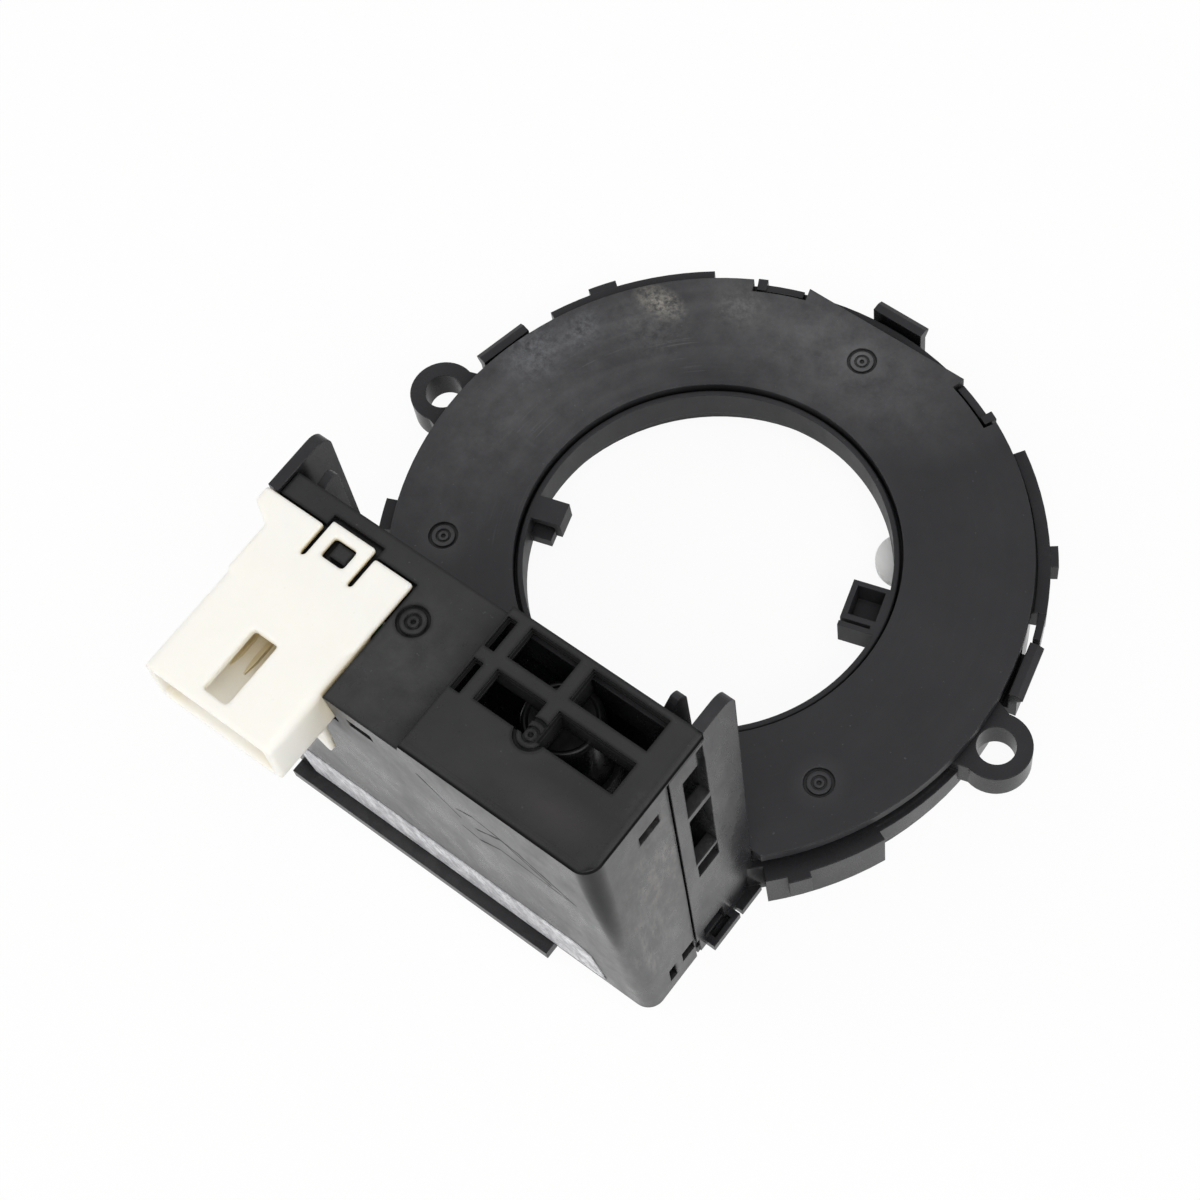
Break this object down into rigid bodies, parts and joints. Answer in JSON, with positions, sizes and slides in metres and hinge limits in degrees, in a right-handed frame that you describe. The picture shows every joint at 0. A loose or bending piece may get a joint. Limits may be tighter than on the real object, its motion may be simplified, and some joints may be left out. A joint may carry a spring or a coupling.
{
  "type": "steering angle sensor",
  "caption": "Ring-shaped steering angle sensor with an upright circuit box, a white plug shell and mounting ears, driven by tabs in its turning bore ring.",
  "frame": {"origin": "on the axis of the ring's bore, at the plane of the mounting face under the ring", "axes": "+X along the box away from its plug end, +Y from the box to the ring, +Z away from the mounting face"},
  "size_m": [0.1058, 0.1152, 0.066],
  "materials": {
    "black_base": "moulded, lightly textured, scuffed",
    "black_cover": "moulded, lightly textured, pale scuffs near one edge",
    "black_box": "moulded, satin, scratched on the raked front",
    "black_rotor": "moulded, satin",
    "gear_plastic": "natural acetal, smooth",
    "magnet": "sintered, dull",
    "steel": "ground",
    "board": "green solder mask",
    "chip": "moulded epoxy",
    "chip_tan": "ceramic",
    "pin_brass": "tin-plated brass",
    "white_plug": "moulded, ivory white",
    "can_metal": "drawn can",
    "label_foil": "silver and white film, mottled, bare"
  },
  "bodies": {
    "housing": {"base_housing": "black_base", "ring_cover": "black_cover", "box_cover": "black_box", "gear_pins": "steel", "ring_board": "board", "sensor_chips": "chip", "link_pins": "pin_brass", "main_board": "board", "plug_shell": "white_plug", "terminals": "pin_brass", "controller_chip": "chip", "transceiver_chip": "chip", "regulator_chip": "chip", "crystal": "can_metal", "capacitor": "can_metal", "chip_capacitors": "chip_tan", "chip_resistors": "chip", "label": "label_foil", "bore_pad": "white_plug"},
    "rotor_ring": {"rotor": "black_rotor"},
    "gear_a": {"measuring_gear_a": "gear_plastic", "magnet_a": "magnet"},
    "gear_b": {"measuring_gear_b": "gear_plastic", "magnet_b": "magnet"}
  },
  "joints": [
    {"name": "rotor_turn", "type": "hinge", "parent": "housing", "child": "rotor_ring", "pos_m": [0, 0, 0], "axis": [0, 0, 1], "continuous": true},
    {"name": "gear_a_turn", "type": "hinge", "parent": "housing", "child": "gear_a", "pos_m": [0.02218, -0.02643, 0.0075], "axis": [0, 0, 1], "continuous": true},
    {"name": "gear_b_turn", "type": "hinge", "parent": "housing", "child": "gear_b", "pos_m": [-0.02192, -0.02612, 0.0075], "axis": [0, 0, 1], "continuous": true}
  ],
  "couplings": [
    {"joint": "gear_a_turn", "follows": "rotor_turn", "ratio": -5.1429},
    {"joint": "gear_b_turn", "follows": "rotor_turn", "ratio": -5.5385}
  ]
}
